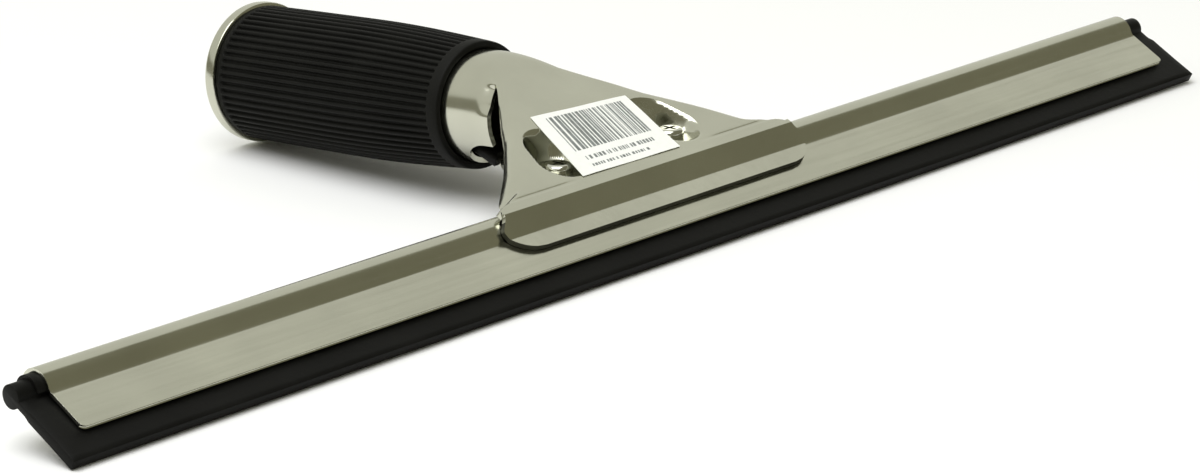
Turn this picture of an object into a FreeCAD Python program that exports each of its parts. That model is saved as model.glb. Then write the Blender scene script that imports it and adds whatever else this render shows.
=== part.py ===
import FreeCAD, Part
import math
import os

# Window cleaning squeegee: a stamped stainless head and tube handle that clamps a
# blade channel with a rubber strip. Millimetres. While it is being built the origin is
# the centre line of the channel's bulb at mid length, X runs along the blade, Y runs
# back towards the end of the handle and Z is up. write_parts moves every piece so that
# the origin is the centre of the underside of the whole tool.

V = FreeCAD.Vector

# Attitude of the blade and of the handle (degrees)
BLADE_TILT = 28.92
HANDLE_DROP = 3.53
FAN_SLOPE = 21.1
PLATE_SLOPE = 5.1

# Where the finished tool sits (distance from the bulb centre line)
TABLE_BELOW_BULB = 11.08
MIDDLE_BEHIND_BULB = 56.03

# Blade channel
CHANNEL_LENGTH = 350.0
CHANNEL_SHEET = 0.8
BULB_RADIUS = 4.3
LEG_OUT = 2.57
LIP_REACH = 15.0
LIP_CURL_START = 13.6
LIP_CURL = 0.27
LIP_CORNER = 2.0

# Rubber strip
RUBBER_LENGTH = 362.8
RUBBER_BULB = 2.6
RUBBER_NECK = 0.8
RUBBER_HALF = 1.2
RUBBER_REACH = 20.75
NECK_END = 5.0
BODY_START = 6.5

# Plugs in the ends of the channel's bulb
PLUG_INNER = 2.75
PLUG_OUTER = 3.45
PLUG_LENGTH = 14.0
PLUG_SLOT = 2.0
LEFT_PLUG_PROUD = 2.2
RIGHT_PLUG_PROUD = 0.4

# Sheet of the head and of the lower jaw
SHEET = 1.2
JAW_HALF = 49.35
JAW_REACH = 9.1
JAW_GAP = 0.1
BAND_FOOT = 4.5
RIDGE_RISE = 6.6
JAW_CORNER = 8.5
BEND_RADIUS = 2.0
BEND_STEP = 12.0

# Neck tube and the fan that joins it to the jaw
AXIS_HEIGHT = 13.96
TUBE_RADIUS = 13.2
TUBE_START = 44.5
TUBE_END = 128.4
CUT_START = 36.0
SKIRT_DEPTH = 5.0
STRIP_END = 3.5
# (distance along the handle axis, half width, bend radius at the sides)
FAN_STATIONS = [
    (-1.2, 45.6, 2.0),
    (0.5, 44.6, 2.2),
    (1.4, 41.2, 2.5),
    (3.1, 37.6, 3.0),
    (5.5, 35.0, 3.0),
    (9.2, 31.8, 3.0),
    (14.0, 27.8, 3.0),
    (18.5, 24.2, 3.0),
    (23.0, 20.8, 4.2),
    (28.0, 17.4, 6.2),
    (32.5, 14.8, 7.6),
    (36.0, 13.2, 9.0),
    (40.0, 13.2, 11.0),
    (44.5, 13.2, 13.0),
]
NOTCH_HALF = 11.6
NOTCH_END = 49.0
NOTCH_CORNER = 5.0
CUT_CORNER = 4.0

# Pockets pressed into the fan for the two pivot screws
POCKET_X = 17.4
POCKET_Y = 9.6
POCKET_WIDTH = 12.0
POCKET_LENGTH = 17.0
POCKET_TURN = 18.0
POCKET_FLOOR = 6.9

# Pivot screws, spacers, washers and nuts
SCREW_X = 18.2
SCREW_Y = 8.6
SCREW_RADIUS = 2.0
SCREW_HEAD = 3.3
SCREW_HEAD_HEIGHT = 1.9
RECESS_WIDTH = 0.8
RECESS_LENGTH = 3.6
RECESS_DEPTH = 1.0
SPACER_RADIUS = 3.4
SPACER_BORE = 2.08
SPACER_DOME = 8.0
PLATE_HOLE = 2.7
WASHER_RADIUS = 4.6
WASHER_CORE = 0.9
WASHER_PLAY = 0.62
DOME_PLAY = 0.15
NUT_ACROSS = 7.0
NUT_HEIGHT = 3.0
SMALL_GAP = 0.05

# Lower jaw
WRAP_GAP = 0.15
PLATE_BEND_Y = 32.0
TAIL_SLOPE = 20.0
TAIL_END_Y = 46.0
STOP_X = 30.0
STOP_HALF = 6.0
STOP_Y = 5.3
STOP_TOP = 1.0
# (distance behind the bulb, half width) of the plate behind the jaw
PLATE_OUTLINE = [
    (3.6, 49.35),
    (4.6, 40.0),
    (7.0, 33.5),
    (11.0, 28.0),
    (19.0, 20.0),
    (29.0, 11.5),
    (34.0, 8.6),
    (39.0, 6.4),
    (48.0, 6.4),
]

# Release tab on the tail of the lower jaw
TAB_HALF = 7.4
TAB_THICK = 3.4
TAB_LENGTH = 8.0
TAB_END_Y = 47.2
TAB_SLACK = 0.35

# Clamp spring and its seats
SPRING_Y = 25.0
SPRING_COIL = 4.6
SPRING_WIRE = 0.6
SPRING_BOTTOM = -0.3
SPRING_TOP = 12.6
SPRING_TURNS = 6
SEAT_RADIUS = 6.2
SPIGOT_RADIUS = 3.3
SPIGOT_LENGTH = 4.0

# Grip, ferrule and pole socket
GRIP_START = 51.0
GRIP_END = 126.4
GRIP_BORE = 13.25
GRIP_FRONT = 15.0
GRIP_MIDDLE = 16.5
GRIP_REAR = 16.3
COLLAR = 3.2
RIB_COUNT = 56
RIB_DEPTH = 0.55
FERRULE_RADIUS = 17.07
FERRULE_END = 130.0
FERRULE_MOUTH = 11.2
FERRULE_BORE = 13.25
FERRULE_ROUND = 1.3
LINER_OUTER = 11.95
SOCKET_RADIUS = 10.7
LINER_START = 66.0
LINER_END = 128.6
LINER_FLOOR = 2.5

# Label stuck on the fan
LABEL_TOP_LEFT = (-13.0, 27.3)
LABEL_TOP_RIGHT = (15.8, 25.1)
LABEL_BOTTOM_RIGHT = (12.4, 3.5)
LABEL_BOTTOM_LEFT = (-18.8, 3.9)
LABEL_THICK = 0.15
LABEL_LIFT = 0.02

FAR = 400.0


def turned(angle):
    """Cosine and sine of an angle in degrees."""
    return math.cos(math.radians(angle)), math.sin(math.radians(angle))


def blade(u, v):
    """Side-view point (y, z) at u down the blade and v out of its upper face."""
    cos_t, sin_t = turned(BLADE_TILT)
    return (-u * cos_t - v * sin_t, -u * sin_t + v * cos_t)


def along_handle(s, w):
    """Side-view point (y, z) at s along the handle axis and w above it."""
    cos_h, sin_h = turned(-HANDLE_DROP)
    return (s * cos_h - w * sin_h, AXIS_HEIGHT + s * sin_h + w * cos_h)


def ridge():
    """Side-view point of the ridge over the bulb."""
    return blade(0.0, RIDGE_RISE)


def on_fan(s, w=0.0):
    """Side-view point at s up the fan from the ridge and w above its face."""
    cos_f, sin_f = turned(FAN_SLOPE)
    ridge_y, ridge_z = ridge()
    return (ridge_y + s * cos_f - w * sin_f, ridge_z + s * sin_f + w * cos_f)


def fan_height(s):
    """Height of the fan's face above the handle axis at s along the axis."""
    cos_h, sin_h = turned(-HANDLE_DROP)
    ridge_y, ridge_z = ridge()
    drop = ridge_z - AXIS_HEIGHT
    ridge_s = ridge_y * cos_h + drop * sin_h
    ridge_w = drop * cos_h - ridge_y * sin_h
    return ridge_w + (s - ridge_s) * math.tan(math.radians(FAN_SLOPE + HANDLE_DROP))


def plate_height(y):
    """Height of the middle of the lower jaw's plate at y behind the bulb."""
    foot_y, foot_z = plate_foot()
    height = foot_z + (min(y, PLATE_BEND_Y) - foot_y) * math.tan(math.radians(PLATE_SLOPE))
    if y > PLATE_BEND_Y:
        height += (y - PLATE_BEND_Y) * math.tan(math.radians(TAIL_SLOPE))
    return height


def wrap_radius():
    """Radius of the middle of the sheet where the lower jaw wraps the bulb."""
    return BULB_RADIUS + WRAP_GAP + SHEET / 2.0


def plate_foot():
    """Side-view point where the plate leaves the wrap under the bulb."""
    cos_p, sin_p = turned(PLATE_SLOPE - 90.0)
    return (wrap_radius() * cos_p, wrap_radius() * sin_p)


def rounded(points, radius):
    """Side-view path with each inner corner replaced by a short arc."""
    path = [points[0]]
    for before, corner, after in zip(points, points[1:], points[2:]):
        path.extend(corner_arc(before, corner, after, radius))
    path.append(points[-1])
    return path


def corner_arc(before, corner, after, radius):
    """Points of the arc that rounds one corner of a path."""
    into = V(corner[0] - before[0], corner[1] - before[1], 0).normalize()
    out = V(after[0] - corner[0], after[1] - corner[1], 0).normalize()
    turn = math.degrees(math.atan2(into.x * out.y - into.y * out.x, into.dot(out)))
    if abs(turn) < BEND_STEP:
        return [corner]
    back = radius * math.tan(math.radians(abs(turn) / 2.0))
    side = math.copysign(1.0, turn)
    start = V(corner[0], corner[1], 0) - into * back
    centre = start + V(-into.y, into.x, 0) * (radius * side)
    steps = max(2, int(abs(turn) / BEND_STEP) + 1)
    points = []
    for index in range(steps + 1):
        cos_a, sin_a = turned(turn * index / steps)
        arm = start - centre
        points.append((centre.x + arm.x * cos_a - arm.y * sin_a,
                       centre.y + arm.x * sin_a + arm.y * cos_a))
    return points


def offset(points, distance):
    """Path moved sideways by a distance, to its left when positive."""
    moved = []
    for index, point in enumerate(points):
        last = points[max(index - 1, 0)]
        following = points[min(index + 1, len(points) - 1)]
        if index == 0:
            last = (2 * point[0] - following[0], 2 * point[1] - following[1])
        if index == len(points) - 1:
            following = (2 * point[0] - last[0], 2 * point[1] - last[1])
        into = V(point[0] - last[0], point[1] - last[1], 0).normalize()
        out = V(following[0] - point[0], following[1] - point[1], 0).normalize()
        middle = (into + out).normalize()
        reach = distance / max(middle.dot(into), 0.2)
        moved.append((point[0] - middle.y * reach, point[1] + middle.x * reach))
    return moved


def side_prism(points, half_width):
    """Side-view polygon extruded to both sides of the middle."""
    corners = [V(-half_width, y, z) for y, z in points]
    face = Part.Face(Part.makePolygon(corners + [corners[0]]))
    return face.extrude(V(2 * half_width, 0, 0))


def sheet_strip(path, thickness, half_width):
    """Bent sheet whose upper face follows a side-view path that runs rearwards."""
    return side_prism(path + list(reversed(offset(path, -thickness))), half_width)


def plan_prism(points, bottom, top):
    """Plan-view polygon (x, y) extruded from one height to another."""
    corners = [V(x, y, bottom) for x, y in points]
    face = Part.Face(Part.makePolygon(corners + [corners[0]]))
    return face.extrude(V(0, 0, top - bottom))


def mirrored_outline(half):
    """Closed plan outline from (y, half width) pairs that run rearwards."""
    right = [(width, y) for y, width in half]
    left = [(-width, y) for y, width in reversed(half)]
    return right + left


def handle_axis():
    """Unit vector along the handle, pointing to its free end."""
    cos_h, sin_h = turned(-HANDLE_DROP)
    return V(0, cos_h, sin_h)


def on_axis(s):
    """Point of the handle axis at s from the bulb."""
    y, z = along_handle(s, 0.0)
    return V(0, y, z)


def cylinder(radius, start, end):
    """Solid cylinder about the handle axis between two stations."""
    return Part.makeCylinder(radius, end - start, on_axis(start), handle_axis())


def turned_about_handle(profile):
    """Ring or cap revolved about the handle axis from (station, radius) points."""
    corners = []
    for s, radius in profile:
        y, z = along_handle(s, radius)
        corners.append(V(0, y, z))
    face = Part.Face(Part.makePolygon(corners + [corners[0]]))
    return face.revolve(on_axis(0.0), handle_axis(), 360)


def blade_vector(x, u, v):
    """Point at x along the blade, u down it and v out of its face."""
    y, z = blade(u, v)
    return V(x, y, z)


def line(x, start, end):
    """Straight edge between two (u, v) points of a blade section."""
    return Part.makeLine(blade_vector(x, *start), blade_vector(x, *end))


def arc(x, start, middle, end):
    """Arc through three (u, v) points of a blade section."""
    return Part.Arc(blade_vector(x, *start), blade_vector(x, *middle),
                    blade_vector(x, *end)).toShape()


def poly_edges(x, points):
    """Straight edges that join (u, v) points in order."""
    return [line(x, start, end) for start, end in zip(points, points[1:])]


def flipped(points):
    """The same (u, v) points on the other side of the blade, in reverse order."""
    return [(u, -v) for u, v in reversed(points)]


def channel():
    """Folded sheet channel: open bulb, two legs and lips that curl in."""
    start = -CHANNEL_LENGTH / 2.0
    inner_radius = BULB_RADIUS - CHANNEL_SHEET
    leg_in = LEG_OUT - CHANNEL_SHEET
    outer_u = math.sqrt(BULB_RADIUS ** 2 - LEG_OUT ** 2)
    inner_u = math.sqrt(inner_radius ** 2 - leg_in ** 2)
    outer = [(outer_u, LEG_OUT), (LIP_CURL_START, LEG_OUT), (LIP_REACH, LEG_OUT - LIP_CURL)]
    inner = [(LIP_REACH, leg_in - LIP_CURL), (LIP_CURL_START, leg_in), (inner_u, leg_in)]
    upper = outer + inner
    lower = flipped(upper)
    edges = poly_edges(start, upper)
    edges.append(arc(start, inner[-1], (-inner_radius, 0.0), lower[0]))
    edges += poly_edges(start, lower)
    edges.append(arc(start, lower[-1], (-BULB_RADIUS, 0.0), outer[0]))
    body = Part.Face(Part.Wire(edges)).extrude(V(CHANNEL_LENGTH, 0, 0))
    return body.common(lip_corner_tool())


def lip_corner_tool():
    """Block over the channel with the corners of its lips rounded."""
    half = CHANNEL_LENGTH / 2.0
    cut = LIP_CORNER * (1.0 - math.sqrt(0.5))
    outline = [(-half, -BULB_RADIUS * 2), (half, -BULB_RADIUS * 2)]
    outline += [(half, LIP_REACH - LIP_CORNER), (half - cut, LIP_REACH - cut)]
    outline += [(half - LIP_CORNER, LIP_REACH), (-half + LIP_CORNER, LIP_REACH)]
    outline += [(-half + cut, LIP_REACH - cut), (-half, LIP_REACH - LIP_CORNER)]
    corners = [blade_vector(x, u, -BULB_RADIUS * 2) for x, u in outline]
    face = Part.Face(Part.makePolygon(corners + [corners[0]]))
    y, z = blade(0.0, BULB_RADIUS * 4)
    return face.extrude(V(0, y, z))


def squeegee_rubber():
    """Rubber strip: round bulb, thin neck and a square-edged blade."""
    start = -RUBBER_LENGTH / 2.0
    bulb_u = math.sqrt(RUBBER_BULB ** 2 - RUBBER_NECK ** 2)
    upper = [(bulb_u, RUBBER_NECK), (NECK_END, RUBBER_NECK)]
    upper += [(BODY_START, RUBBER_HALF), (RUBBER_REACH, RUBBER_HALF)]
    edges = poly_edges(start, upper + flipped(upper))
    edges.append(arc(start, (bulb_u, -RUBBER_NECK), (-RUBBER_BULB, 0.0), upper[0]))
    return Part.Face(Part.Wire(edges)).extrude(V(RUBBER_LENGTH, 0, 0))


def end_plug(start):
    """Split sleeve pushed into one end of the channel's bulb."""
    ring = Part.makeCylinder(PLUG_OUTER, PLUG_LENGTH, V(start, 0, 0), V(1, 0, 0))
    ring = ring.cut(Part.makeCylinder(PLUG_INNER, PLUG_LENGTH, V(start, 0, 0), V(1, 0, 0)))
    corners = []
    for u, v in [(0, -PLUG_SLOT), (0, PLUG_SLOT), (FAR, PLUG_SLOT), (FAR, -PLUG_SLOT)]:
        corners.append(blade_vector(start, u, v))
    slot = Part.Face(Part.makePolygon(corners + [corners[0]]))
    return ring.cut(slot.extrude(V(PLUG_LENGTH, 0, 0)))


def end_plug_left():
    """Plug at the left end, pushed a little out of the channel."""
    return end_plug(-CHANNEL_LENGTH / 2.0 - LEFT_PLUG_PROUD)


def end_plug_right():
    """Plug at the right end, nearly flush with the channel."""
    return end_plug(CHANNEL_LENGTH / 2.0 + RIGHT_PLUG_PROUD - PLUG_LENGTH)


def jaw_corner_tool():
    """Block over the jaw with its two front corners rounded."""
    steps = 8
    outline = [(-JAW_HALF, -FAR), (JAW_HALF, -FAR)]
    for side in (1, -1):
        corner = []
        for index in range(steps + 1):
            cos_a, sin_a = turned(90.0 * index / steps)
            x = JAW_HALF - JAW_CORNER + JAW_CORNER * cos_a
            corner.append((side * x, JAW_REACH - JAW_CORNER + JAW_CORNER * sin_a))
        outline += corner if side > 0 else list(reversed(corner))
    corners = [blade_vector(x, u, -FAR / 4) for x, u in outline]
    face = Part.Face(Part.makePolygon(corners + [corners[0]]))
    y, z = blade(0.0, FAR / 2)
    return face.extrude(V(0, y, z))


def upper_jaw():
    """Jaw bar of the head: lip, band over the bulb, ridge and the strip behind it."""
    lip_v = LEG_OUT + JAW_GAP + SHEET
    points = [blade(JAW_REACH, lip_v), blade(BAND_FOOT, lip_v), ridge(), on_fan(STRIP_END)]
    return sheet_strip(rounded(points, BEND_RADIUS), SHEET, JAW_HALF)


def fan_section(s, half_width, bend):
    """Closed wire of the fan's sheet across the handle at one station."""
    top = min(fan_height(s), TUBE_RADIUS)
    bottom = min(0.0, top - bend - SHEET)
    if s >= CUT_START:
        bottom = 0.0
    flat = half_width - bend
    outer = [(-half_width, bottom), (-half_width, top - bend), (-flat, top)]
    outer += [(flat, top), (half_width, top - bend), (half_width, bottom)]
    inner = [(x - math.copysign(SHEET, x), w) for x, w in outer]
    inner[1] = (-half_width + SHEET, top - bend)
    inner[2] = (-flat, top - SHEET)
    inner[3] = (flat, top - SHEET)
    inner[4] = (half_width - SHEET, top - bend)
    edges = section_edges(s, outer, bend)
    edges.append(section_line(s, outer[-1], inner[-1]))
    edges += section_edges(s, list(reversed(inner)), bend - SHEET)
    edges.append(section_line(s, inner[0], outer[0]))
    return Part.Wire(edges)


def section_point(s, point):
    """Point of a cross-section at s, given as (x, height above the axis)."""
    y, z = along_handle(s, point[1])
    return V(point[0], y, z)


def section_line(s, start, end):
    """Straight edge of a cross-section."""
    return Part.makeLine(section_point(s, start), section_point(s, end))


def section_arc(s, start, end, radius):
    """Quarter arc of a side bend; the arc's crown is towards the outside."""
    high = start if start[1] > end[1] else end
    low = end if start[1] > end[1] else start
    side = math.copysign(1.0, low[0])
    middle = (high[0] + side * radius * math.sqrt(0.5), low[1] + radius * math.sqrt(0.5))
    return Part.Arc(section_point(s, start), section_point(s, middle),
                    section_point(s, end)).toShape()


def section_edges(s, points, radius):
    """Skirt, bend, top, bend and skirt of one face of the fan's sheet."""
    edges = [section_line(s, points[0], points[1])]
    edges.append(section_arc(s, points[1], points[2], radius))
    edges.append(section_line(s, points[2], points[3]))
    edges.append(section_arc(s, points[3], points[4], radius))
    edges.append(section_line(s, points[4], points[5]))
    return edges


def fan():
    """Sheet that narrows from the jaw bar to the neck, with turned-down sides."""
    sections = [fan_section(*station) for station in FAN_STATIONS]
    skin = Part.makeLoft(sections, True, True)
    return skin.cut(skirt_tool())


def skirt_tool():
    """Side-view block that trims the turned-down sides of the fan."""
    cut_y, cut_z = along_handle(CUT_START, 0.0)
    front = on_fan(-SHEET, -SKIRT_DEPTH)
    corner_s = (cut_y - ridge()[0]) / turned(FAN_SLOPE)[0]
    corner = on_fan(corner_s - CUT_CORNER / 2, -SKIRT_DEPTH)
    low = (cut_y, -FAR / 10)
    path = rounded([front, corner, (cut_y, cut_z), low], CUT_CORNER)
    path.append((front[0], -FAR / 10))
    return side_prism(path, FAR / 4)


def neck_tube():
    """Tube of the neck, cut away above the fan and notched under it."""
    tube = cylinder(TUBE_RADIUS, CUT_START, TUBE_END)
    tube = tube.cut(cylinder(TUBE_RADIUS - SHEET, CUT_START, TUBE_END))
    corners = [along_handle(CUT_START - 1, 0.0), along_handle(TUBE_START, 0.0)]
    corners += [along_handle(TUBE_START, FAR / 10), along_handle(CUT_START - 1, FAR / 10)]
    tube = tube.cut(side_prism(corners, FAR / 10))
    notch = [(0.0, NOTCH_HALF), (NOTCH_END - NOTCH_CORNER, NOTCH_HALF)]
    notch += [(NOTCH_END - NOTCH_CORNER * 0.3, NOTCH_HALF - NOTCH_CORNER * 0.3)]
    notch += [(NOTCH_END, NOTCH_HALF - NOTCH_CORNER)]
    return tube.cut(plan_prism(mirrored_outline(notch), -FAR / 10, AXIS_HEIGHT / 2))


def pocket_outline(side, grow):
    """Rounded slot seen from above, turned to follow the side of the fan."""
    radius = POCKET_WIDTH / 2.0 + grow
    reach = POCKET_LENGTH / 2.0 - POCKET_WIDTH / 2.0
    cos_t, sin_t = turned(POCKET_TURN * side)
    points = []
    for end, first in ((1, 0.0), (-1, 180.0)):
        for index in range(13):
            cos_a, sin_a = turned(first + 15.0 * index)
            x = radius * cos_a
            y = end * reach + radius * sin_a
            points.append((side * POCKET_X + x * cos_t - y * sin_t, POCKET_Y + x * sin_t + y * cos_t))
    return points


def pocket_wall(side):
    """Sheet that forms a pocket's wall and floor, up to inside the fan's sheet."""
    block = plan_prism(pocket_outline(side, SHEET), POCKET_FLOOR - SHEET, FAR / 10)
    above = [on_fan(-FAR / 10, -SHEET / 3), on_fan(FAR / 4, -SHEET / 3)]
    above += [on_fan(FAR / 4, FAR / 4), on_fan(-FAR / 10, FAR / 4)]
    block = block.cut(side_prism(above, FAR / 4))
    screw = Part.makeCylinder(SPACER_BORE, FAR / 10, V(side * SCREW_X, SCREW_Y, 0))
    return block.cut(screw)


def bulb_room():
    """Cylinder that keeps the head clear of the channel's bulb."""
    start = V(-JAW_HALF - 1, 0, 0)
    return Part.makeCylinder(BULB_RADIUS + WRAP_GAP, 2 * JAW_HALF + 2, start, V(1, 0, 0))


def handle_body():
    """Head, neck and tube of the handle, pressed from one sheet."""
    body = upper_jaw().fuse(fan())
    body = body.fuse(neck_tube())
    for side in (1, -1):
        body = body.fuse(pocket_wall(side))
        body = body.cut(plan_prism(pocket_outline(side, 0.0), POCKET_FLOOR, FAR / 10))
    body = body.common(jaw_corner_tool())
    return body.cut(bulb_room()).removeSplitter()


def lower_jaw():
    """Lever plate: lip under the channel, wrap under the bulb, plate and tail."""
    path = [blade(JAW_REACH, -LEG_OUT - JAW_GAP - SHEET / 2.0)]
    radius = wrap_radius()
    lip_v = LEG_OUT + JAW_GAP + SHEET / 2.0
    start = math.degrees(math.atan2(*reversed(blade(math.sqrt(radius ** 2 - lip_v ** 2), -lip_v))))
    end = PLATE_SLOPE - 90.0
    steps = 8
    for index in range(steps + 1):
        cos_a, sin_a = turned(start + (end - start) * index / steps)
        path.append((radius * cos_a, radius * sin_a))
    path.append((PLATE_BEND_Y, plate_height(PLATE_BEND_Y)))
    path.append((TAIL_END_Y, plate_height(TAIL_END_Y)))
    sheet = sheet_strip(offset(path, SHEET / 2.0), SHEET, JAW_HALF)
    sheet = sheet.common(jaw_corner_tool())
    outline = [(-FAR / 10, JAW_HALF)] + PLATE_OUTLINE
    sheet = sheet.common(plan_prism(mirrored_outline(outline), -FAR / 10, FAR / 10))
    for side in (1, -1):
        sheet = sheet.fuse(stop_tab(side))
        hole = Part.makeCylinder(PLATE_HOLE, FAR / 10, V(side * SCREW_X, SCREW_Y, -FAR / 20))
        sheet = sheet.cut(hole)
    return sheet.removeSplitter()


def stop_tab(side):
    """Tab bent up behind the bulb that keeps the channel from slipping back."""
    low = plate_height(STOP_Y)
    corner = V(side * STOP_X - STOP_HALF, STOP_Y, low)
    return Part.makeBox(2 * STOP_HALF, SHEET, STOP_TOP - low, corner)


def release_tab():
    """Moulded cap on the tail that the thumb presses to open the jaw."""
    cos_t, sin_t = turned(TAIL_SLOPE)
    end = V(0, TAB_END_Y, plate_height(TAB_END_Y))
    block = Part.makeBox(2 * TAB_HALF, TAB_LENGTH, TAB_THICK, V(-TAB_HALF, -TAB_LENGTH, -TAB_THICK / 2))
    block = block.makeFillet(TAB_THICK * 0.42, [edge for edge in block.Edges if edge.Length > TAB_THICK])
    slot_half = PLATE_OUTLINE[-1][1] + SMALL_GAP
    slot_end = (TAB_END_Y - TAIL_END_Y) / cos_t - TAB_SLACK
    slot_thick = SHEET + 2 * SMALL_GAP
    slot = Part.makeBox(2 * slot_half, TAB_LENGTH, slot_thick,
                        V(-slot_half, -TAB_LENGTH - slot_end, -slot_thick / 2))
    block = block.cut(slot)
    block.rotate(V(0, 0, 0), V(1, 0, 0), TAIL_SLOPE)
    return block.translated(end)


def screw_frame(side):
    """Axis point of a pivot screw at the pocket's floor."""
    return V(side * SCREW_X, SCREW_Y, POCKET_FLOOR)


def nut_top():
    """Height of the top of the nuts under the lower jaw."""
    return plate_height(SCREW_Y) - SHEET / 2.0 - WASHER_PLAY - WASHER_CORE


def pivot_screw(side):
    """Pan-head screw with a cross recess, from the pocket down through the plate."""
    seat = screw_frame(side) + V(0, 0, 0.02)
    head = Part.makeCylinder(SCREW_HEAD, SCREW_HEAD_HEIGHT, seat)
    head = head.makeFillet(SCREW_HEAD_HEIGHT * 0.6, [head.Edges[0]])
    length = seat.z - nut_top() + NUT_HEIGHT + 0.3
    shank = Part.makeCylinder(SCREW_RADIUS, length + 0.5, seat - V(0, 0, length))
    screw = head.fuse(shank)
    for long_x, long_y in ((RECESS_LENGTH, RECESS_WIDTH), (RECESS_WIDTH, RECESS_LENGTH)):
        corner = seat + V(-long_x / 2, -long_y / 2, SCREW_HEAD_HEIGHT - RECESS_DEPTH)
        screw = screw.cut(Part.makeBox(long_x, long_y, RECESS_DEPTH * 2, corner))
    return screw


def spacer(side):
    """Sleeve between the head and the lower jaw; its domed end is the fulcrum."""
    top = POCKET_FLOOR - SHEET - 0.02
    low = plate_height(SCREW_Y) + SHEET / 2.0 + DOME_PLAY
    sleeve = Part.makeCylinder(SPACER_RADIUS, top - low, V(side * SCREW_X, SCREW_Y, low))
    dome = Part.makeSphere(SPACER_DOME, V(side * SCREW_X, SCREW_Y, low + SPACER_DOME))
    cap = Part.makeCylinder(SPACER_RADIUS, top - low, V(side * SCREW_X, SCREW_Y, low + 2.0))
    sleeve = sleeve.common(dome.fuse(cap))
    return sleeve.cut(Part.makeCylinder(SPACER_BORE, FAR / 10, V(side * SCREW_X, SCREW_Y, low - 1)))


def washer(side):
    """Coned washer under the plate that lets it rock."""
    top = nut_top() + WASHER_CORE
    rim = top - 0.6
    centre = V(side * SCREW_X, SCREW_Y, 0)
    profile = [(SPACER_BORE, top), (SPACER_BORE + 0.6, top), (WASHER_RADIUS, rim)]
    profile += [(WASHER_RADIUS, nut_top() + 0.02), (SPACER_BORE, nut_top() + 0.02)]
    corners = [centre + V(radius, 0, z) for radius, z in profile]
    face = Part.Face(Part.makePolygon(corners + [corners[0]]))
    return face.revolve(centre, V(0, 0, 1), 360)


def nut(side):
    """Hexagon lock nut on the end of a pivot screw."""
    corner = NUT_ACROSS / math.sqrt(3.0)
    points = []
    for index in range(6):
        cos_a, sin_a = turned(60.0 * index)
        points.append((side * SCREW_X + corner * cos_a, SCREW_Y + corner * sin_a))
    block = plan_prism(points, nut_top() - NUT_HEIGHT, nut_top())
    centre = V(side * SCREW_X, SCREW_Y, nut_top() - NUT_HEIGHT)
    return block.cut(Part.makeCylinder(SCREW_RADIUS + 0.02, NUT_HEIGHT, centre))


def pair(make):
    """Left and right copies of a piece as one group of separate solids."""
    return Part.makeCompound([make(-1), make(1)])


def clamp_spring():
    """Compression spring that presses the tail of the lower jaw down."""
    height = SPRING_TOP - SPRING_BOTTOM - 2 * SPRING_WIRE
    helix = Part.makeLongHelix(height / SPRING_TURNS, height, SPRING_COIL)
    circle = Part.makeCircle(SPRING_WIRE, V(SPRING_COIL, 0, 0), V(0, 1, 0))
    coil = Part.Wire(helix.Edges).makePipeShell([Part.Wire(circle)], True, True)
    return coil.translated(V(0, SPRING_Y, SPRING_BOTTOM + SPRING_WIRE))


def spring_post():
    """Lower spring seat: disc on the plate with a spigot inside the coils."""
    low = plate_height(SPRING_Y)
    centre = V(0, SPRING_Y, low)
    post = Part.makeCylinder(SEAT_RADIUS, SPRING_BOTTOM - SMALL_GAP - low, centre)
    post = post.fuse(Part.makeCylinder(SPIGOT_RADIUS, SPRING_BOTTOM - low + SPIGOT_LENGTH, centre))
    under = []
    for y in (SPRING_Y - FAR / 20, SPRING_Y + FAR / 20):
        rise = (y - SPRING_Y) * math.tan(math.radians(PLATE_SLOPE))
        under.append((y, low + SHEET / 2.0 + SMALL_GAP + rise))
    under += [(under[1][0], -FAR / 10), (under[0][0], -FAR / 10)]
    return post.cut(side_prism(under, FAR / 10))


def spring_seat():
    """Upper spring seat: plug that fills the slope under the fan."""
    centre = V(0, SPRING_Y, SPRING_TOP + SMALL_GAP)
    seat = Part.makeCylinder(SEAT_RADIUS, FAR / 20, centre)
    spigot = V(0, SPRING_Y, SPRING_TOP - SPIGOT_LENGTH)
    seat = seat.fuse(Part.makeCylinder(SPIGOT_RADIUS, SPIGOT_LENGTH + 0.5, spigot))
    under = -SHEET / turned(FAN_SLOPE + HANDLE_DROP)[0] - 0.1
    above = [on_fan(-FAR / 10, under), on_fan(FAR / 4, under)]
    above += [on_fan(FAR / 4, FAR / 4), on_fan(-FAR / 10, FAR / 4)]
    return seat.cut(side_prism(above, FAR / 10))


def ribbed_wire(s, radius, depth):
    """Closed star-shaped outline of the ribbed grip at one station."""
    points = []
    pitch = 360.0 / RIB_COUNT
    for index in range(RIB_COUNT):
        for share, level in ((0.0, radius), (0.5, radius), (0.66, radius - depth), (0.84, radius - depth)):
            cos_a, sin_a = turned(pitch * (index + share))
            points.append(section_point(s, (level * cos_a, level * sin_a)))
    return Part.makePolygon(points + [points[0]])


def grip_sleeve():
    """Rubber sleeve with fine ribs along it and a plain collar at each end."""
    middle = (GRIP_START + GRIP_END) / 2.0
    stations = [(GRIP_START + COLLAR, GRIP_FRONT), (middle, GRIP_MIDDLE), (GRIP_END - COLLAR / 2, GRIP_REAR)]
    wires = [ribbed_wire(s, radius, RIB_DEPTH) for s, radius in stations]
    body = Part.makeLoft(wires, True, True)
    body = body.fuse(cylinder(GRIP_FRONT, GRIP_START, GRIP_START + COLLAR))
    body = body.fuse(cylinder(GRIP_REAR, GRIP_END - COLLAR / 2, GRIP_END))
    return body.cut(cylinder(GRIP_BORE, GRIP_START, GRIP_END))


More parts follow.
